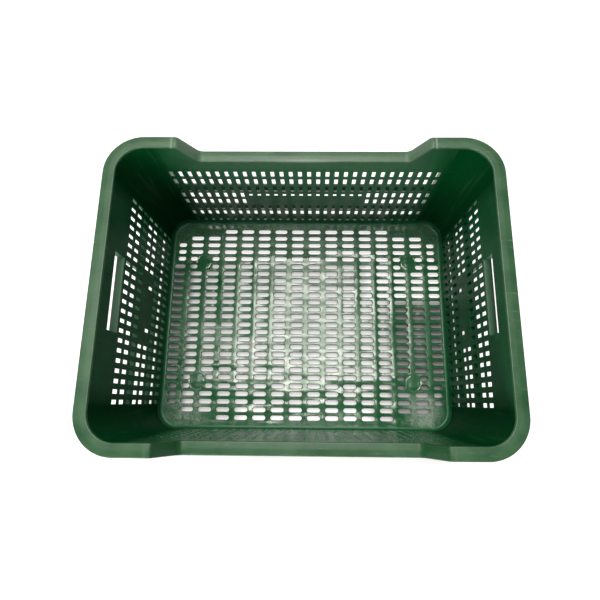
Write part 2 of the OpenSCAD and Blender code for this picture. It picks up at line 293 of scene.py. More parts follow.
# Faces of the ramps: distances from their ends, and the painted light on the back ones
RAMP_FACE_INSETS = (4, 1)
BACK_RAMP_LIGHT = 0.12
# Painted highlight on the inner edge in the middle of the back rail: distance from the wall, reach along and
# across, fading and strength
RAIL_HIGHLIGHT_PAST = 2.2
RAIL_HIGHLIGHT_REACH = (60, 3.2)
RAIL_HIGHLIGHT_FADE = (0.1, 1)
RAIL_HIGHLIGHT = 0.62
# Scuffs in the front corners of the floor, partly wear and partly painted sheen: place, radius and strength
# of each, and the share of the radius that is even
FLOOR_SCUFFS_AND_SHEEN = ((-195, -150, 50, 0.30), (190, -146, 35, 0.66))
SCUFF_CORE_SHARE = 1 / 3
# Scuffs along the back edge of the floor
BACK_SCUFF_LIMITS = (100, 145)
BACK_SCUFF = 0.15
# Patches of the scuffs: scale and detail of their noise, its range and the share left between them
PATCHES = (260, 3)
PATCH_RANGE = (0.35, 0.65)
PATCH_LEAST = 0.3
# Ring over each round foot
FOOT_RING_LIMITS = (0.4, 2.0)
FOOT_RING_DEPTH = 0.15
# Crown of the floor bars: reach from the middle of a bar, and depth
CROWN_REACH = 9
CROWN_DEPTH = 0.14
# How far a face with painted shade points up, and how far past a wall's foot its outside starts
UPWARD_RANGE = (0.4, 0.9)
OUTSIDE_LIMITS = (1, 3)
# Wear of the sills
SILL_WEAR = 0.16
# Paler line along the lower edge of the hand-holds: its start and end over the sill, and past the slot's end
GRIP_EDGE_START = (-1.6, -0.4)
GRIP_EDGE_END = (0.2, 0.6)
GRIP_EDGE_SIDE = (-1, 0)
GRIP_EDGE_PALING = 0.3
# Painted light above the holes of the back wall: heights, places in Y and distances from the end walls
STRIP_HEIGHTS = (188, 196)
STRIP_DEPTHS = (150, 160)
STRIP_ENDS = (-90, -40)
STRIP_PAINTED_LIGHT = 0.07
# Corner posts and dull ends of the walls, past the corner centres, and the shares of shine left there
POST_LIMITS = (-30, -5)
POST_SHINE_SHARE = 0.05
END_LIMITS = (-50, -10)
END_SHINE_SHARE = 0.2
# Shares of shine left on the faces of the front ramps and on the painted shade of the ledges
FRONT_RAMP_SHINE_SHARE = 0.5
LEDGE_SHADE_SHINE_SHARE = 0.1
# Colours of painted shade on the faces of the front ramps, on the upper faces of the ledges and on the
# corner posts
FRONT_RAMP_SHADE_GREEN = (0.012, 0.062, 0.022)
LEDGE_SHADE_GREEN = (0.004, 0.020, 0.009)
POST_SHADE_GREEN = (0.001, 0.046, 0.012)
# Patterns of the plastic: scale and detail of their noise, and how it is drawn out
EVEN = (1, 1, 1)
MOTTLE = (34, 5, EVEN)
STREAKS = (150, 3, (1, 1, 0.06))
SCUFFS = (420, 2, (0.12, 1, 1))
WAVES = (48, 0.5)
GRAIN = (2400, 2, EVEN)
GRAIN_DEPTH = 0.02
# Values of a noise between which a pattern goes from least to most
NOISE_RANGE = (0.3, 0.7)
SCUFF_RANGE = (0.62, 0.8)
SMEAR_RANGE = (0.58, 0.74)
# How much mottle and streaks change the roughness, and what a full pale mark of wear and painted light adds
# to it
MOTTLE_SWING = 0.05
STREAK_SWING = 0.04
PALE_MARK_ROUGHNESS = 0.7
# Share of the way from white to a colour that rubbing and painted light leave
PALE_MARK_SHARE = 0.72
PLASTIC_IOR = 1.5


def set_inputs(node, inputs):
    """Values or links on the inputs of a shader node."""
    for name, value in inputs.items():
        if isinstance(value, bpy.types.NodeSocket):
            node.id_data.links.new(value, node.inputs[name])
        else:
            node.inputs[name].default_value = value


def add_node(kind, inputs, **settings):
    """Shader node with its settings and inputs, in the tree that the links on its inputs come from."""
    tree = next(value.id_data for value in inputs.values() if isinstance(value, bpy.types.NodeSocket))
    made = tree.nodes.new("ShaderNode" + kind)
    for name, value in settings.items():
        setattr(made, name, value)
    set_inputs(made, inputs)
    return made


def new_material(name):
    """Material, its shader, and the place on the object from which its patterns start."""
    made = bpy.data.materials.new(name)
    made.use_nodes = True
    nodes = made.node_tree.nodes
    return made, nodes["Principled BSDF"], nodes.new("ShaderNodeTexCoord").outputs["Object"]


def noise(place, scale, detail, stretch=EVEN):
    """Noise over the object, its features drawn out where the stretch is below one."""
    mapped = add_node("Mapping", {"Vector": place, "Scale": stretch}).outputs[0]
    inputs = {"Vector": mapped, "Scale": scale, "Detail": detail}
    return add_node("TexNoise", inputs).outputs["Fac"]


def reckon(operation, first, *others):
    """Result of an operation on one value, or on several taken in turn."""
    result = first
    for other in others or (0,):
        result = add_node("Math", {0: result, 1: other}, operation=operation).outputs[0]
    return result


def product(*values):
    return reckon("MULTIPLY", *values)


def largest(*values):
    return reckon("MAXIMUM", *values)


def reckon_place(operation, one, two=(0, 0, 0)):
    """Result of an operation on one or two places: a place, or a length."""
    made = add_node("VectorMath", {0: one, 1: two}, operation=operation)
    return made.outputs["Value" if operation in ("DISTANCE", "LENGTH") else "Vector"]


def coordinate(place, axis):
    return add_node("SeparateXYZ", {0: place}).outputs[axis]


def past(place, axis, line):
    """How far a place lies past a line, in millimetres from the tub's middle, on either side."""
    return reckon("SUBTRACT", reckon("ABSOLUTE", coordinate(place, axis)), line * MM)


def span(value, low, high, to_low, to_high):
    """Level that goes from one to another while a value goes from low to high."""
    made = add_node("MapRange", {
        "Value": value, "From Min": low, "From Max": high, "To Min": to_low, "To Max": to_high})
    return made.outputs["Result"]


def fade(length, limits, to_low, to_high):
    """Level that goes from one to another while a length passes two limits in millimetres."""
    return span(length, limits[0] * MM, limits[1] * MM, to_low, to_high)


def ramp(pattern, low, high):
    """Colour that goes from one to another over the range of a noise."""
    made = add_node("ValToRGB", {"Fac": pattern})
    for element, position, colour in zip(made.color_ramp.elements, NOISE_RANGE, (low, high)):
        element.position = position
        element.color = (*colour, 1)
    return made.outputs["Color"]


def mix(factor, one, two):
    """Colour that goes from one to another with a factor."""
    inputs = {"Factor": factor, "A": one, "B": two}
    return add_node("Mix", inputs, data_type="RGBA").outputs["Result"]


def bump(height, depth, normal=None):
    """Relief whose height is worth a depth in millimetres, on top of another relief if there is one."""
    inputs = {"Height": height, "Distance": depth * MM}
    if normal:
        inputs["Normal"] = normal
    return add_node("Bump", inputs).outputs["Normal"]


def painted_crest_highlights(place):
    """Painted highlight along the crest of each ramp, fainter at the front."""
    across = past(place, "X", RAMP_END + CREST_MARK_PAST)
    line = fade(reckon("ABSOLUTE", across), CREST_MARK_LIMITS, CREST_MARK, 0)
    share = fade(coordinate(place, "Y"), FRONT_TO_BACK, CREST_FRONT_SHARE, 1)
    return product(line, share)


def ramp_faces(place, front, back):
    """One value on the faces of the front ramps, another on those of the back ramps, and zero elsewhere."""
    half = (RAMP_END - RAMP_START) / 2
    across = past(place, "X", RAMP_START + half)
    limits = [half - inset for inset in RAMP_FACE_INSETS]
    inside = fade(reckon("ABSOLUTE", across), limits, 1, 0)
    level = fade(coordinate(place, "Y"), FRONT_TO_BACK, front, back)
    return product(inside, level)


def shaded_front_ramps(place):
    """One on the faces of the front ramps, which are darkened with painted shade, and zero elsewhere."""
    return ramp_faces(place, 1, 0)


def painted_rail_highlight(place):
    """Painted highlight on the inner edge in the middle of the back rail."""
    middle = (0, (CORNER_Y + inner_r(LOW_UNDER) + RAIL_HIGHLIGHT_PAST) * MM, LOW_TOP * MM)
    along, across = RAIL_HIGHLIGHT_REACH
    moved = reckon_place("SUBTRACT", place, middle)
    scaled = reckon_place("MULTIPLY", moved, (1 / (along * MM), 1 / (across * MM), 0))
    return span(reckon_place("LENGTH", scaled), *RAIL_HIGHLIGHT_FADE, RAIL_HIGHLIGHT, 0)


def rim_painted_light(place):
    """Where light is painted on the rim: highlights along the crests of the ramps and on the back rail, and
    paler back faces of the ramps.
    """
    back_ramp_light = ramp_faces(place, 0, BACK_RAMP_LIGHT)
    return largest(painted_crest_highlights(place), painted_rail_highlight(place), back_ramp_light)


def floor_scuffs_and_sheen(place):
    """Patchy scuffs in the front corners of the floor, partly wear and partly painted sheen, and faint ones
    along its back edge.
    """
    scuffs = [fade(coordinate(place, "Y"), BACK_SCUFF_LIMITS, 0, BACK_SCUFF)]
    for x, y, radius, most in FLOOR_SCUFFS_AND_SHEEN:
        distance = reckon_place("DISTANCE", place, (x * MM, y * MM, BASE_HEIGHT * MM))
        scuffs.append(fade(distance, (radius * SCUFF_CORE_SHARE, radius), most, 0))
    patchy = span(noise(place, *PATCHES), *PATCH_RANGE, PATCH_LEAST, 1)
    return product(largest(*scuffs), patchy)


def foot_rings(place):
    """Height of the floor over the round feet, lowest in a ring over each."""
    folded = reckon_place("ABSOLUTE", place)
    distance = reckon_place("DISTANCE", folded, (FOOT_X * MM, FOOT_Y * MM, BASE_HEIGHT * MM))
    off = reckon("ABSOLUTE", reckon("SUBTRACT", distance, FOOT_RADIUS * MM))
    return fade(off, FOOT_RING_LIMITS, 0, 1)


def bar_crowns(place):
    """Height of the floor bars that run across the tub, highest along the middle of each."""
    from_bar = reckon("PINGPONG", coordinate(place, "X"), SLOT_PITCH / 2 * MM)
    return reckon("COSINE", fade(from_bar, (0, CROWN_REACH), 0, math.pi))


def ledge_painted_shade(place):
    """One on the upper faces of the bands and ledges outside the long walls, where shade is painted, and
    zero elsewhere.
    """
    normal = place.id_data.nodes.new("ShaderNodeNewGeometry").outputs["Normal"]
    upward = span(coordinate(normal, "Z"), *UPWARD_RANGE, 0, 1)
    return product(upward, fade(past(place, "Y", FLOOR_HALF_Y), OUTSIDE_LIMITS, 0, 1))


def sill_wear(place):
    """Pale wear on the sills of the hand-holds."""
    limits = (SILL_UNDER - SILL_THICKNESS, SILL_UNDER)
    paled = fade(coordinate(place, "Z"), limits, 0, SILL_WEAR)
    return product(paled, fade(past(place, "X", FLOOR_HALF_X), OUTSIDE_LIMITS, 0, 1))


def grip_edge_paling(place):
    """Paler line along the lower edge of the hand-holds."""
    over_sill = reckon("SUBTRACT", coordinate(place, "Z"), SILL_TOP * MM)
    return product(
        fade(over_sill, GRIP_EDGE_START, 0, GRIP_EDGE_PALING),
        fade(over_sill, GRIP_EDGE_END, 1, 0),
        fade(past(place, "Y", GRIP_HALF), GRIP_EDGE_SIDE, 1, 0),
        fade(past(place, "X", FLOOR_HALF_X), OUTSIDE_LIMITS, 0, 1))


def back_strip_painted_light(place):
    """Painted light on the strip above the holes of the back wall, away from its ends."""
    return product(
        fade(coordinate(place, "Z"), STRIP_HEIGHTS, 0, STRIP_PAINTED_LIGHT),
        fade(coordinate(place, "Y"), STRIP_DEPTHS, 0, 1),
        fade(past(place, "X", FLOOR_HALF_X), STRIP_ENDS, 1, 0))


def wall_paling_and_light(place):
    """Where the walls are painted paler: a pale line along the hand-holds and painted light above the back
    wall's holes.
    """
    return largest(grip_edge_paling(place), back_strip_painted_light(place))


def shaded_corner_posts(place):
    """One on the corner posts, whose colour is darkened with painted shade, fading to zero beside them."""
    past_corner = reckon("MINIMUM", past(place, "X", CORNER_X), past(place, "Y", CORNER_Y))
    return fade(past_corner, POST_LIMITS, 0, 1)


def end_gloss(place, shine):
    """Shine of the walls, which are dull towards the ends of the tub and duller still in its corners."""
    ends = fade(past(place, "X", CORNER_X), END_LIMITS, shine, shine * END_SHINE_SHARE)
    return product(ends, span(shaded_corner_posts(place), 0, 1, 1, POST_SHINE_SHARE))


def dulled(mask, share):
    """Function for a shine of which a share is left where a mask is one."""
    def gloss(place, shine):
        return span(mask(place), 0, 1, shine, shine * share)
    return gloss


def plastic(name, deep, pale, roughness, shine, worn, wave, marks, smear=0, runs=(EVEN,),
            reliefs=(), patch=None, gloss=None):
    """Moulded polyethylene: mottled colour, uneven gloss, wavy and grained face, pale scuffs and smears,
    with painted light and shade.

    marks (wear and painted light), gloss, the mask of a patch (painted shade in these materials) and the
    heights of reliefs are functions of the place that add nodes.
    """
    made, shader, place = new_material(name)
    mottle = noise(place, *MOTTLE)
    streaks = noise(place, *STREAKS)
    scuffs = span(noise(place, *SCUFFS), *SCUFF_RANGE, 0, worn)
    smears = span(streaks, *SMEAR_RANGE, 0, smear)
    # Pale marks: random scuffs and smears, and each material's own marks, which include painted light
    wear_and_painted_light = largest(scuffs, smears, marks(place))
    colour = ramp(mottle, deep, pale)
    if patch:
        mask, patch_colour = patch
        # Painted shade: a darker colour where the patch's mask is one
        colour = mix(mask(place), colour, (*patch_colour, 1))
    # Pale colour of wear and of painted light
    paled = [1 - (1 - part) * PALE_MARK_SHARE for part in pale]
    colour = mix(wear_and_painted_light, colour, (*paled, 1))
    uneven = reckon(
        "ADD", span(mottle, *NOISE_RANGE, roughness - MOTTLE_SWING, roughness + MOTTLE_SWING),
        span(streaks, *NOISE_RANGE, -STREAK_SWING, STREAK_SWING),
        product(wear_and_painted_light, PALE_MARK_ROUGHNESS))
    relief = None
    for run in runs:
        relief = bump(noise(place, *WAVES, run), wave, relief)
    for height, depth in reliefs:
        relief = bump(height(place), depth, relief)
    relief = bump(noise(place, *GRAIN), GRAIN_DEPTH, relief)
    set_inputs(shader, {
        "Base Color": colour, "Roughness": uneven, "Normal": relief, "IOR": PLASTIC_IOR,
        "Specular IOR Level": gloss(place, shine) if gloss else shine})
    return made


MATERIALS = {
    "wall_green": plastic(
        "wall_green", (0.002, 0.060, 0.018), (0.005, 0.088, 0.028), roughness=0.34, shine=0.46,
        # Pale marks: a paler line along the hand-holds, and painted light above the back wall's holes
        worn=0.06, wave=0.6, smear=0.06, marks=wall_paling_and_light,
        # Painted shade on the corner posts, which are also duller
        patch=(shaded_corner_posts, POST_SHADE_GREEN), gloss=end_gloss),
    "rim_green": plastic(
        "rim_green", (0.018, 0.072, 0.030), (0.039, 0.107, 0.050), roughness=0.40, shine=0.5,
        # Painted highlights on the ramp crests and the back rail, and painted light on the back ramps
        worn=0.16, wave=0.2, marks=rim_painted_light,
        # Painted shade on the faces of the front ramps
        patch=(shaded_front_ramps, FRONT_RAMP_SHADE_GREEN), gloss=dulled(shaded_front_ramps, FRONT_RAMP_SHINE_SHARE)),
    "floor_green": plastic(
        "floor_green", (0.009, 0.072, 0.027), (0.017, 0.102, 0.039), roughness=0.15, shine=0.5,
        # Floor scuffs, partly wear and partly painted sheen
        worn=0.12, wave=1.5, runs=((0.9, 0.15, 1), (0.3, 1.2, 1)), marks=floor_scuffs_and_sheen,
        reliefs=((foot_rings, FOOT_RING_DEPTH), (bar_crowns, CROWN_DEPTH))),
    "rib_green": plastic(
        "rib_green", (0.008, 0.080, 0.030), (0.014, 0.112, 0.044), roughness=0.36, shine=0.3,
        worn=0.1, wave=0.3, marks=sill_wear,
        # Painted shade on the upper faces of the outer bands and ledges
        patch=(ledge_painted_shade, LEDGE_SHADE_GREEN), gloss=dulled(ledge_painted_shade, LEDGE_SHADE_SHINE_SHARE)),
}


# Rim

def ramp_line():
    """Upper face of the rim over a ramp: place, height and slope, from the foot to the crest."""
    slopes = [RAMP_ANGLE * step / BEND_STEPS for step in range(BEND_STEPS + 1)]
    foot = [(RAMP_START + RAMP_FOOT_RADIUS * math.sin(slope),
             LOW_TOP + RAMP_FOOT_RADIUS * (1 - math.cos(slope)), slope) for slope in slopes]
    crest = [(RAMP_END - RAMP_CREST_RADIUS * math.sin(slope),
              TUB_HEIGHT - RAMP_CREST_RADIUS * (1 - math.cos(slope)), slope) for slope in reversed(slopes)]
    return foot + crest


def ramp_under():
    """Underside of the rim over a ramp: place and height, from the foot to the crest."""
    return [(place + RIM_THICKNESS * math.sin(slope), top - RIM_THICKNESS * math.cos(slope))
            for place, top, slope in ramp_line()]


def rim_outline(top):
    """Outline of the rim whose upper face lies at a height: distance outward and depth below that face."""
    wall_in = inner_r(top - RIM_THICKNESS)
    skirt_in = RIM_R - SKIRT_THICKNESS
    return rounded([
        (wall_in, RIM_THICKNESS, 0), (wall_in, 0, RIM_INNER_ROUND),
        (RIM_R - RIM_FALL_WIDTH, 0, RIM_FALL_ROUND), (RIM_R, RIM_FALL, RIM_OUTER_ROUND),
        (RIM_R, SKIRT_DEPTH, EDGE_ROUND), (skirt_in, SKIRT_DEPTH, EDGE_ROUND),
        (skirt_in, RIM_THICKNESS, EDGE_ROUND), (wall_in + WALL_THICKNESS, RIM_THICKNESS, 0)])


def rim_loop(centre, outward, top, slope):
    """Points of the rim at a place on its line; over a ramp the band is square to the slope."""
    tangent = tangent_of(outward)
    loop = []
    for out, depth in rim_outline(top):
        band = min(depth, RIM_THICKNESS)
        flat = centre + outward * out + tangent * band * math.sin(slope)
        loop.append(Vector((flat.x, flat.y, top - band * math.cos(slope) - (depth - band))))
    return loop


def corner_stations():
    """Corner by corner, the centre and the outward directions of the turn round it."""
    for quarter, (sign_x, sign_y) in enumerate(CORNERS.values()):
        turns = [math.pi / 2 * (quarter + step / CORNER_STEPS) for step in range(CORNER_STEPS + 1)]
        centre = Vector((sign_x * CORNER_X, sign_y * CORNER_Y))
        yield centre, [Vector((math.cos(turn), math.sin(turn))) for turn in turns]


def low_side(outward):
    """Stations of the rim along a long side, down one ramp and up the other."""
    rising = ramp_line()
    falling = [(-place, top, -slope) for place, top, slope in reversed(rising)]
    for place, top, slope in falling + rising:
        yield tangent_of(outward) * place + outward * CORNER_Y, outward, top, slope


def gusset(bm, side, along, top):
    """Small plate between wall and skirt under the rim."""
    under = top - RIM_THICKNESS + LET_IN
    skirt_in = RIM_R - SKIRT_THICKNESS + LET_IN
    wall_out = outer_r(under) - LET_IN
    outline = [(wall_out, under), (skirt_in, under),
               (skirt_in, top - SKIRT_DEPTH + GUSSET_LIFT), (wall_out, under - RIM_THICKNESS)]
    skin(bm, [[spot(side, edge, out, height) for out, height in outline]
              for edge in both_edges([along], GUSSET_THICKNESS)])


def build_rim():
    loops = []
    for centre, directions in corner_stations():
        loops += [rim_loop(centre, outward, TUB_HEIGHT, 0) for outward in directions]
        if abs(directions[-1].y) > abs(directions[-1].x):
            loops += [rim_loop(*station) for station in low_side(directions[-1])]
    bm = bmesh.new()
    skin(bm, loops, closed=True)
    for index in LONG_SIDE_GUSSETS:
        for side in LONG_SIDES:
            gusset(bm, side, index * GUSSET_PITCH, LOW_TOP)
    for index in SHORT_SIDE_GUSSETS:
        for side in SHORT_SIDES:
            gusset(bm, side, index * GUSSET_PITCH, TUB_HEIGHT)
    nodes = [f"rim_{side}" for side in SIDES]
    nodes += [f"{stem}_{corner}" for stem in ("ramp", "rim_corner") for corner in CORNERS]
    piece("rim_band", bm, nodes, "rim_green")


# Walls and corner posts

def plate(side, alongs, heights, top_line, opening):
    """Perforated wall on a grid of lines, its top row cut to a line, with edges marked to be rounded.

    opening(along, height) gives None for solid wall, "hole" or "grip".
    """
    bm = bmesh.new()
    weights = bm.edges.layers.float.new("bevel_weight_edge")
    verts = {}

    def corner(column, row, face):
        along = alongs[column]
        height = heights[row] if row < len(heights) else top_line(along)
        key = (round(along, LINE_DECIMALS), round(height, LINE_DECIMALS), face)
        if key not in verts:
            verts[key] = bm.verts.new(spot(side, along, face(height), height) * MM)
        return verts[key]

    def face_of(corners):
        kept = list(dict.fromkeys(corners))
        return bm.faces.new(kept) if len(kept) > 2 else None

    def kind(column, row):
        if not (0 <= column < len(alongs) - 1 and 0 <= row < len(heights)):
            return "outside"
        ends = (alongs[column], alongs[column + 1])
        if row == len(heights) - 1:
            return None if max(top_line(end) for end in ends) > heights[-1] else "outside"
        return opening(sum(ends) / 2, (heights[row] + heights[row + 1]) / 2)

    for column in range(len(alongs) - 1):
        for row in range(len(heights)):
            if kind(column, row):
                continue
            ring = [(column, row), (column + 1, row), (column + 1, row + 1), (column, row + 1)]
            beyond = [(column, row - 1), (column + 1, row), (column, row + 1), (column - 1, row)]
            for face in (inner_r, outer_r):
                face_of([corner(*place, face) for place in ring])
            for index, cell in enumerate(beyond):
                other = kind(*cell)
                if not other:
                    continue
                one, two = ring[index], ring[(index + 1) % len(ring)]
                reveal = face_of([corner(*one, inner_r), corner(*two, inner_r),
                                  corner(*two, outer_r), corner(*one, outer_r)])
                if reveal is None or other == "outside":
                    continue
                for edge in reveal.edges:
                    edge[weights] = HOLE_ROUND / GRIP_ROUND if other == "hole" else 1
                if other == "grip" and index != 0:
                    outer_edge = bm.edges.get((corner(*one, outer_r), corner(*two, outer_r)))
                    outer_edge[weights] = 0
    return bm


def level_marks(edges):
    """Lines of a grid in order, without repeats."""
    return sorted(set(round(edge, LINE_DECIMALS) for edge in edges))


HOLE_EDGES = both_edges([row_z(row) for row in range(1, ROW_COUNT + 1)], HOLE_HEIGHT)
SLIT_EDGES = both_edges([row_z(LABEL_ROWS[0])], SLIT_HEIGHT)


def hole_lines(columns):
    places = [side * column_x(column) for side in (-1, 1) for column in range(1, columns + 1)]
    return both_edges(places, HOLE_WIDTH)


def hole_at(along, height, columns):
    """Column and row of the hole round a point of the wall, or None."""
    column = math.floor(abs(along) / HOLE_PITCH) + 1
    row = round((row_z(1) - height) / ROW_PITCH) + 1
    off_along = abs(abs(along) - column_x(column))
    off_height = abs(height - row_z(row))
    in_hole = off_along < HOLE_WIDTH / 2 and off_height < HOLE_HEIGHT / 2
    return (column, row) if in_hole and column <= columns and 1 <= row <= ROW_COUNT else None


def long_opening(along, height):
    hole = hole_at(along, height, LONG_COLUMNS)
    if not hole:
        return None
    column, row = hole
    if row in LABEL_ROWS and column <= LONG_LABEL_COLUMNS:
        return "hole" if SLIT_EDGES[0] < height < SLIT_EDGES[1] else None
    return "hole"


def short_opening(along, height):
    if abs(along) < GRIP_HALF and SILL_TOP < height < GRIP_TOP:
        return "grip"
    hole = hole_at(along, height, SHORT_COLUMNS)
    if not hole:
        return None
    column, row = hole
    if row in LABEL_ROWS and column <= SHORT_LABEL_COLUMNS:
        return "hole" if row == LABEL_ROWS[1] and column == SHORT_LABEL_OPEN_COLUMN else None
    return "hole"


def shoulder_top(along):
    """Height of the underside of the rim along a long side."""
    under = ramp_under()
    distance = abs(along)
    if distance <= under[0][0]:
        return LOW_UNDER
    for (near, low), (far, high) in zip(under, under[1:]):
        if distance <= far:
            return low + (high - low) * (distance - near) / max(far - near, MERGE_DISTANCE)
    return HIGH_UNDER


def build_panels():
    half = CORNER_X - POST_FLAT
    shoulder = [place for place, height in ramp_under()]
    mirrored = [-place for place in shoulder]
    alongs = level_marks(hole_lines(LONG_COLUMNS) + shoulder + mirrored + [-half, half])
    heights = level_marks(HOLE_EDGES + SLIT_EDGES + [LEDGE_TOP, LOW_UNDER])
    for side in LONG_SIDES:
        bm = plate(side, alongs, heights, shoulder_top, long_opening)
        nodes = [f"wall_{side}", f"shoulder_{side}_left", f"shoulder_{side}_right"]
        piece(f"panel_{side}", bm, nodes, "wall_green", GRIP_ROUND)
    half = CORNER_Y - POST_FLAT
    alongs = level_marks(hole_lines(SHORT_COLUMNS) + [-GRIP_HALF, GRIP_HALF, -half, half])
    heights = level_marks(HOLE_EDGES + [LEDGE_TOP, SILL_TOP, GRIP_TOP])
    for side in SHORT_SIDES:
        bm = plate(side, alongs, heights, lambda along: HIGH_UNDER, short_opening)
        nodes = [f"wall_{side}", f"grip_{side}", f"cheek_front_{side}", f"cheek_back_{side}"]
        piece(f"panel_{side}", bm, nodes, "wall_green", GRIP_ROUND)


def post_outline():
    """Outline of a corner post: the leaning wall with the bands round its outside."""
    corners = [(outer_r(HIGH_UNDER), HIGH_UNDER, 0), (inner_r(HIGH_UNDER), HIGH_UNDER, 0),
               (inner_r(LEDGE_TOP), LEDGE_TOP, 0), (outer_r(LEDGE_TOP), LEDGE_TOP, 0)]
    for low, high in reversed(band_heights()):
        corners += [(outer_r(low), low, EDGE_ROUND), (REACH_R, low, EDGE_ROUND),
                    (REACH_R, high, EDGE_ROUND), (outer_r(high), high, EDGE_ROUND)]
    return rounded(corners)


def build_posts():
    outline = post_outline()
    for corner, (centre, directions) in zip(CORNERS, corner_stations()):
        first, last = directions[0], directions[-1]
        stations = [(centre - tangent_of(first) * POST_FLAT, first)]
        stations += [(centre, outward) for outward in directions]
        stations += [(centre + tangent_of(last) * POST_FLAT, last)]
        bm = bmesh.new()
        skin(bm, [upright_loop(place, outward, outline) for place, outward in stations])
        piece(f"post_{corner}", bm, [f"corner_{corner}"], "wall_green")


# Outer ribs and hand-holds

def shelf(bm, side, half, low, high, reach, let_in=0):
    """Straight shelf along a side between two heights, its outer edges rounded."""
    outline = rounded([
        (outer_r(low) - let_in, low, 0), (reach, low, EDGE_ROUND),
        (reach, high, EDGE_ROUND), (outer_r(high) - let_in, high, 0)])
    skin(bm, [[spot(side, end, out, height) for out, height in outline] for end in (-half, half)])


def upright(bm, side, along, low, high, reach):
    """Upright rib between two heights, let into the leaning wall."""
    loops = []
    for height in (low, high):
        inside = outer_r(height) - LET_IN
        outline = rounded([
            (along - RIB_THICKNESS / 2, inside, 0), (along + RIB_THICKNESS / 2, inside, 0),
            (along + RIB_THICKNESS / 2, reach, EDGE_ROUND), (along - RIB_THICKNESS / 2, reach, EDGE_ROUND)])
        loops.append([spot(side, place, out, height) for place, out in outline])
    skin(bm, loops)


def build_lattices():
    bands = band_heights()
    for side in SIDES:
        long_side = side in LONG_SIDES
        half = CORNER_X if long_side else CORNER_Y
        top = LOW_TOP - SKIRT_DEPTH if long_side else SILL_UNDER
        frame_along = LONG_LABEL_COLUMNS * HOLE_PITCH if long_side else GRIP_HALF + RIB_THICKNESS / 2
        last_hole = column_x(LONG_COLUMNS if long_side else SHORT_COLUMNS)
        end_along = last_hole + (HOLE_WIDTH + RIB_THICKNESS) / 2
        bm = bmesh.new()
        for low, high in bands:
            shelf(bm, side, half - POST_FLAT, low, high, REACH_R, LET_IN)
        bays = [(bands[0][1], top), (bands[1][1], bands[0][0]), (LEDGE_TOP, bands[1][0])]
        for sign in (-1, 1):
            for low, high in bays:
                upright(bm, side, sign * end_along, low - LET_IN, high + LET_IN, REACH_R)
            for low, high in bays[:2]:
                upright(bm, side, sign * frame_along, low - LET_IN, high + LET_IN, REACH_R)
        piece(f"lattice_{side}", bm, [f"ribs_{side}"], "rib_green")


def build_hand_holds():
    """Sill under each hand-hold slot, with an upright lip at each end."""
    lip_top = HIGH_UNDER - SKIRT_DEPTH
    for side in SHORT_SIDES:
        bm = bmesh.new()
        shelf(bm, side, GRIP_HALF + LET_IN, SILL_UNDER, SILL_TOP, SILL_REACH)
        for sign in (-1, 1):
            upright(bm, side, sign * (GRIP_HALF + RIB_THICKNESS / 2), SILL_UNDER, lip_top, SILL_REACH)
        piece(f"hand_hold_{side}", bm, [f"sill_{side}"], "rib_green")


# Base and floor

def build_base():
    """Ring that the tub stands on, with the stacking ledge outside and the cove at the floor inside."""
    outline = rounded([
        (FLOOR_R, 0, EDGE_ROUND), (outer_r(BASE_HEIGHT), 0, EDGE_ROUND),
        (outer_r(LEDGE_UNDER), LEDGE_UNDER, EDGE_ROUND), (REACH_R, LEDGE_UNDER, EDGE_ROUND),
        (REACH_R, LEDGE_TOP, EDGE_ROUND), (inner_r(LEDGE_TOP), LEDGE_TOP, 0)])
    for step in range(BEND_STEPS + 1):
        turn = math.pi / 2 * step / BEND_STEPS
        outline.append(Vector((FLOOR_R - COVE_RADIUS + COVE_RADIUS * math.cos(turn),
                               BASE_HEIGHT + COVE_RADIUS - COVE_RADIUS * math.sin(turn))))
    outline.append(Vector((FLOOR_R, BASE_HEIGHT - EDGE_ROUND)))
    bm = bmesh.new()
    skin(bm, [upright_loop(centre, outward, outline)
              for centre, directions in corner_stations() for outward in directions], closed=True)
    nodes = [f"base_rail_{side}" for side in SIDES] + [f"base_corner_{corner}" for corner in CORNERS]
    piece("base_ring", bm, nodes, "rib_green")


def floor_row_y(row):
    """Middle of a row of floor slots, counted from the tub's middle."""
    past_wide_bar = WIDE_BAR_EXTRA if row > INNER_FLOOR_ROWS else 0
    return WIDE_BAR_EXTRA / 2 + (row - 1 / 2) * SLOT_ROW_PITCH + past_wide_bar


def slot_span(column, row):
    """Inner and outer end of a floor slot, or None where the floor is plain."""
    lost = {FLOOR_ROWS: LAST_ROW_LOST, FLOOR_ROWS - 1: NEXT_ROW_LOST}.get(row, 0)
    if column > FLOOR_COLUMNS - lost:
        return None
    start = (column - 1 / 2) * SLOT_PITCH - SLOT_LENGTH / 2
    if column == FLOOR_COLUMNS:
        return start, start + (CORNER_SLOT_LENGTH if row > INNER_FLOOR_ROWS else END_SLOT_LENGTH)
    if row in (INNER_FLOOR_ROWS, INNER_FLOOR_ROWS + 1):
        if column == FOOT_COLUMN:
            return start, start + FOOT_SLOT_LENGTH
        if column == FOOT_COLUMN + 1:
            return start + SLOT_LENGTH - FOOT_SLOT_LENGTH, start + SLOT_LENGTH
    return start, start + SLOT_LENGTH


def slot_half(span_x, middle, up):
    """Half the edge of a slot from its inner to its outer end, on the upper or the lower side."""
    radius = SLOT_WIDTH / 2
    points = []
    for centre, from_turn in ((span_x[0] + radius, math.pi), (span_x[1] - radius, math.pi / 2)):
        for step in range(SLOT_STEPS + 1):
            turn = from_turn - math.pi / 2 * step / SLOT_STEPS
            points.append((centre + radius * math.cos(turn), middle + up * radius * math.sin(turn)))
    return points


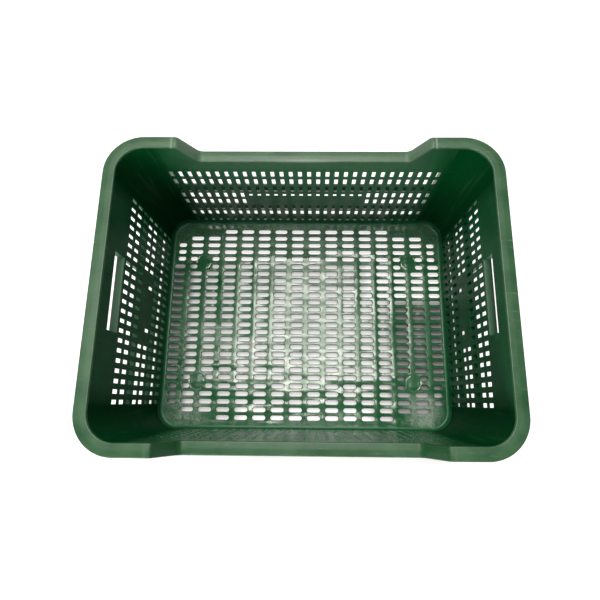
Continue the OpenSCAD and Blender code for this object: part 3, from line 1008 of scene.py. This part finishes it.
def floor_end(y_from, y_to):
    """Edge of the floor between two distances from the tub's middle, round the corner where it turns."""
    if y_to <= CORNER_Y:
        return [(FLOOR_HALF_X, y_from), (FLOOR_HALF_X, y_to)]
    turns = [math.asin(max(y - CORNER_Y, 0) / FLOOR_R) for y in (y_from, y_to)]
    arc = [turns[0] + (turns[1] - turns[0]) * step / SLOT_STEPS for step in range(SLOT_STEPS + 1)]
    points = [(CORNER_X + FLOOR_R * math.cos(turn), CORNER_Y + FLOOR_R * math.sin(turn)) for turn in arc]
    return ([(FLOOR_HALF_X, y_from)] if y_from < CORNER_Y else []) + points


def floor_faces():
    """Outlines of the flat faces of a quarter of the floor, and of its slots."""
    faces, slots = [], []
    lines = [column * SLOT_PITCH for column in range(FLOOR_COLUMNS)]

    def strip(y_from, y_to):
        for left, right in zip(lines, lines[1:]):
            faces.append([(left, y_from), (right, y_from), (right, y_to), (left, y_to)])
        faces.append([(lines[-1], y_from)] + floor_end(y_from, y_to) + [(lines[-1], y_to)])

    strip(0, WIDE_BAR_EXTRA / 2)
    for row in range(1, FLOOR_ROWS + 1):
        middle = floor_row_y(row)
        for up in (-1, 1):
            edge = middle + up * SLOT_ROW_PITCH / 2
            for column in range(1, FLOOR_COLUMNS + 1):
                span_x = slot_span(column, row)
                inner = slot_half(span_x, middle, up) if span_x else []
                left = lines[column - 1]
                if column < FLOOR_COLUMNS:
                    outer = [(lines[column], middle), (lines[column], edge)]
                else:
                    outer = floor_end(*sorted((middle, edge)))
                    outer = outer if up > 0 else outer[::-1]
                faces.append([(left, middle)] + inner + outer + [(left, edge)])
                if span_x and up > 0:
                    slots.append(inner + slot_half(span_x, middle, -1)[-2:0:-1])
        if row == INNER_FLOOR_ROWS:
            strip(middle + SLOT_ROW_PITCH / 2, middle + SLOT_ROW_PITCH / 2 + WIDE_BAR_EXTRA)
    last = floor_row_y(FLOOR_ROWS) + SLOT_ROW_PITCH / 2
    inside = [line for line in lines if line < CORNER_X]
    for left, right in zip(inside, inside[1:]):
        faces.append([(left, last), (right, last), (right, FLOOR_HALF_Y), (left, FLOOR_HALF_Y)])
    corner = floor_end(last, FLOOR_HALF_Y)
    faces.append([(inside[-1], last), (lines[-1], last)] + corner + [(inside[-1], FLOOR_HALF_Y)])
    return faces, slots


def build_floor():
    bm = bmesh.new()
    weights = bm.edges.layers.float.new("bevel_weight_edge")
    verts = {}

    def vert(x, y, height):
        key = (round(x, LINE_DECIMALS), round(y, LINE_DECIMALS), height)
        if key not in verts:
            verts[key] = bm.verts.new(Vector((x, y, height)) * MM)
        return verts[key]

    faces, slots = floor_faces()
    for sign_x, sign_y in CORNERS.values():
        for outline in faces:
            for height in (BASE_HEIGHT, FLOOR_UNDER):
                corners = dict.fromkeys(vert(sign_x * x, sign_y * y, height) for x, y in outline)
                bm.faces.new(list(corners))
        for outline in slots:
            ring = [(sign_x * x, sign_y * y) for x, y in outline]
            for one, two in zip(ring, ring[1:] + ring[:1]):
                top = (vert(*one, BASE_HEIGHT), vert(*two, BASE_HEIGHT))
                bm.faces.new((*top, vert(*two, FLOOR_UNDER), vert(*one, FLOOR_UNDER)))
                bm.edges.get(top)[weights] = 1
    over_underside = (FLOOR_UNDER + MERGE_DISTANCE) * MM
    top_edges = [edge for edge in bm.edges if edge.is_boundary
                 and min(one.co.z for one in edge.verts) > over_underside]
    for edge in top_edges:
        under = [vert(one.co.x / MM, one.co.y / MM, FLOOR_UNDER) for one in edge.verts]
        bm.faces.new((edge.verts[0], edge.verts[1], under[1], under[0]))
    piece("floor_plate", bm, ["floor_grid"], "floor_green", SLOT_ROUND)


def build_feet():
    outline = rounded([
        (FOOT_RADIUS - FOOT_WALL, 0, EDGE_ROUND), (FOOT_RADIUS, 0, EDGE_ROUND),
        (FOOT_RADIUS, FLOOR_UNDER, 0), (FOOT_RADIUS - FOOT_WALL, FLOOR_UNDER, 0)])
    turns = [2 * math.pi * step / FOOT_STEPS for step in range(FOOT_STEPS)]
    directions = [Vector((math.cos(turn), math.sin(turn))) for turn in turns]
    for corner, (sign_x, sign_y) in CORNERS.items():
        centre = Vector((sign_x * FOOT_X, sign_y * FOOT_Y))
        bm = bmesh.new()
        skin(bm, [upright_loop(centre, outward, outline) for outward in directions], closed=True)
        piece(f"foot_ring_{corner}", bm, [f"foot_{corner}"], "floor_green")


def under_bar(bm, across, ends, along_x):
    """Rib under the floor, along X or Y, with rounded lower edges."""
    half = UNDER_RIB_THICKNESS / 2
    outline = rounded([
        (across - half, FLOOR_UNDER, 0), (across - half, UNDER_RIB_LIFT, EDGE_ROUND),
        (across + half, UNDER_RIB_LIFT, EDGE_ROUND), (across + half, FLOOR_UNDER, 0)])
    skin(bm, [[Vector((end, side, height) if along_x else (side, end, height)) for side, height in outline]
              for end in ends])


def build_under_ribs():
    past_foot = FOOT_X + FOOT_RADIUS - LET_IN
    before_foot = FOOT_X - FOOT_RADIUS + LET_IN
    parted = ((-FLOOR_HALF_X, -past_foot), (-before_foot, before_foot), (past_foot, FLOOR_HALF_X))
    whole = ((-FLOOR_HALF_X, FLOOR_HALF_X),)
    for name, across, spans in (("front", -FOOT_Y, parted), ("back", FOOT_Y, parted), ("middle", 0, whole)):
        bm = bmesh.new()
        for ends in spans:
            under_bar(bm, across, ends, True)
        piece(f"under_rib_{name}", bm, [f"floor_rib_{name}"], "floor_green")
    bm = bmesh.new()
    side = UNDER_RIB_THICKNESS / 2 - LET_IN
    for sign in (-1, 1):
        under_bar(bm, 0, (sign * side, sign * (FOOT_Y - side)), False)
        under_bar(bm, 0, (sign * (FOOT_Y + side), sign * FLOOR_HALF_Y), False)
    piece("under_spine", bm, ["floor_spine"], "floor_green")


build_rim()
build_panels()
build_posts()
build_lattices()
build_hand_holds()
build_base()
build_floor()
build_feet()
build_under_ribs()


# Studio, in metres and watts

# Glow of the ground round the tub and under it, and the width in which the outer glow sets in
GROUND_GLOW = 0.76
UNDER_GLOW = 0.40
GLOW_EDGE = 0.035
# Middle and distances of the zone in which the ground darkens, and the share of light left past it
GROUND_MIDDLE = (0, 0.15, 0)
GROUND_FADE = (0.9, 1.6)
FAR_SHARE = 0.2
# Zones of the ground under the tub, as limits in X and in Y:
# lit ones with the share of light added, and dim ones with the share of light left
LIT_ZONES = (
    (-0.24, 0.24, 0.108, 0.18, 1), (0.108, 0.24, 0.042, 0.18, 1), (-0.1, 0.1, -0.18, -0.148, 1),
    (-0.11, 0.105, -0.16, 0.11, 0.29))
DIM_ZONES = (
    (0.147, 0.226, -0.113, 0.030, 0.1), (0.150, 0.226, -0.165, -0.127, 0.26),
    (-0.226, -0.205, -0.165, 0.094, 0.12))
ZONE_EDGE = 0.012
# Colours of the ground, of the ground in the dark and of its glow, each from the least to the most grain
PAPER = ((0.50, 0.48, 0.51), (0.54, 0.52, 0.55))
DUSK = ((0.20, 0.20, 0.20), (0.22, 0.22, 0.22))
GLOW = ((0.98, 0.94, 0.94), (1, 0.97, 0.97))
# Scale and detail of the ground's grain, its roughness, half its side, its cells and its place under the tub
GROUND_GRAIN = (9, 3)
GROUND_ROUGHNESS = 0.8
GROUND_HALF = 6
GROUND_CELLS = 8
GROUND_Z = -0.0003
# Light of the room from the ground up: heights between which it changes, on a sphere of one, and strengths
ROOM_HEIGHTS = (0.02, 0.35)
ROOM_LIGHT = (0.3, 0.03)
# Lamps of the key light: columns and rows, middle, spacing, size and power of each
LAMP_HEIGHT = 2.4
KEY_COLUMNS = 4
KEY_ROWS = 2
KEY_MIDDLE = Vector((0, 0.36))
KEY_STEP = Vector((0.235, 0.44))
KEY_SIZE = (0.12, 0.3)
KEY_POWER = 4.5
# Other lamps: place, what they look at, size and power
TUB_MIDDLE = (0, 0, 0)
LAMPS = {
    "strip": ((0, 1.02, LAMP_HEIGHT), TUB_MIDDLE, (1.2, 0.16), 6),
    "back": ((-0.2, 1.5, LAMP_HEIGHT), TUB_MIDDLE, (1.8, 0.5), 27),
    "side": ((-1.35, 0.3, LAMP_HEIGHT), TUB_MIDDLE, (0.25, 1.6), 13),
    "front": ((-0.6, -2.3, 0.8), (0, 0, 0.15), (1.4, 0.7), 54),
}
# Colour of all the lamps, a slightly warm white
LAMP_COLOUR = (1, 0.98, 0.91)
# Camera as fitted to the photograph: its side, focal length and middle in pixels
PHOTO_SIDE = 600
FOCAL_LENGTH = 443.42
MIDDLE_X = 308.9
# Width of the sensor in millimetres, place of the camera and its turns in degrees
SENSOR_WIDTH = 36
CAMERA_PLACE = (0.01502, -0.13320, 0.74425)
CAMERA_TURNS = (12.981, 0.610, 0.526)


def zone(place, limits):
    """One in a zone of the ground, zero from its edge on."""
    parts = []
    for axis, (low, high) in (("X", limits[:2]), ("Y", limits[2:])):
        value = coordinate(place, axis)
        parts.append(span(value, low - ZONE_EDGE, low, 0, 1))
        parts.append(span(value, high, high + ZONE_EDGE, 1, 0))
    return reckon("MINIMUM", *parts)


def tub_shade(place):
    """Share of the light that reaches the ground, less than one in the dim zones under the tub."""
    shares = [span(zone(place, limits), 0, 1, 1, least) for *limits, least in DIM_ZONES]
    return product(*shares)


def nearness(place):
    """One on the lit ground, falling to a share far from its middle."""
    distance = reckon_place("DISTANCE", place, GROUND_MIDDLE)
    return span(distance, *GROUND_FADE, 1, FAR_SHARE)


def ground_glow(place, shade):
    """Glow of the ground: strong round the tub, weaker under it but for the lit zones, faded far off."""
    past_walls = largest(past(place, "X", FLOOR_HALF_X), past(place, "Y", FLOOR_HALF_Y))
    outside = span(past_walls, 0, GLOW_EDGE, 0, GROUND_GLOW)
    zones = [product(zone(place, limits), most) for *limits, most in LIT_ZONES]
    lit = span(largest(*zones), 0, 1, UNDER_GLOW, GROUND_GLOW)
    glow = largest(product(shade, lit), outside)
    return product(glow, nearness(place))


def build_ground():
    """Pale ground, lit so that it shows no shadow round the tub."""
    made, shader, place = new_material("ground")
    grain = noise(place, *GROUND_GRAIN)
    shade = tub_shade(place)
    pale = product(shade, nearness(place))
    set_inputs(shader, {
        "Base Color": mix(pale, ramp(grain, *DUSK), ramp(grain, *PAPER)), "Roughness": GROUND_ROUGHNESS,
        "Emission Color": ramp(grain, *GLOW), "Emission Strength": ground_glow(place, shade)})
    bm = bmesh.new()
    bmesh.ops.create_grid(bm, x_segments=GROUND_CELLS, y_segments=GROUND_CELLS, size=GROUND_HALF)
    mesh = bpy.data.meshes.new("ground")
    bm.to_mesh(mesh)
    bm.free()
    mesh.materials.append(made)
    ground = bpy.data.objects.new("ground", mesh)
    ground.location.z = GROUND_Z
    bpy.context.scene.collection.objects.link(ground)


def softbox(name, place, target, size, power):
    """Rectangular studio light that looks at a target."""
    data = bpy.data.lights.new(name, "AREA")
    data.shape = "RECTANGLE"
    data.size, data.size_y = size
    data.energy = power
    data.color = LAMP_COLOUR
    made = bpy.data.objects.new(name, data)
    made.location = place
    made.rotation_euler = (Vector(target) - Vector(place)).to_track_quat("-Z", "Y").to_euler()
    bpy.context.scene.collection.objects.link(made)


def build_world():
    """Dark room whose walls grow pale towards the ground."""
    world = bpy.data.worlds.new("studio")
    world.use_nodes = True
    nodes = world.node_tree.nodes
    place = nodes.new("ShaderNodeTexCoord").outputs["Generated"]
    light = span(coordinate(place, "Z"), *ROOM_HEIGHTS, *ROOM_LIGHT)
    set_inputs(nodes["Background"], {"Color": (1, 1, 1, 1), "Strength": light})
    bpy.context.scene.world = world


def build_light():
    """Key light as a grid of lamps over the tub, and the other lamps round it."""
    for column in range(KEY_COLUMNS):
        for row in range(KEY_ROWS):
            off = Vector((column - (KEY_COLUMNS - 1) / 2, row - (KEY_ROWS - 1) / 2)) * KEY_STEP
            place = (*(KEY_MIDDLE + off), LAMP_HEIGHT)
            softbox(f"key_{column}_{row}", place, TUB_MIDDLE, KEY_SIZE, KEY_POWER)
    for name, lamp in LAMPS.items():
        softbox(name, *lamp)


def build_camera():
    data = bpy.data.cameras.new("camera")
    data.sensor_width = SENSOR_WIDTH
    data.lens = FOCAL_LENGTH / PHOTO_SIDE * SENSOR_WIDTH
    data.shift_x = (PHOTO_SIDE / 2 - MIDDLE_X) / PHOTO_SIDE
    made = bpy.data.objects.new("camera", data)
    made.location = CAMERA_PLACE
    made.rotation_euler = [math.radians(angle) for angle in CAMERA_TURNS]
    bpy.context.scene.collection.objects.link(made)
    bpy.context.scene.camera = made


build_ground()
build_world()
build_light()
build_camera()
bpy.context.scene.view_settings.view_transform = "Standard"
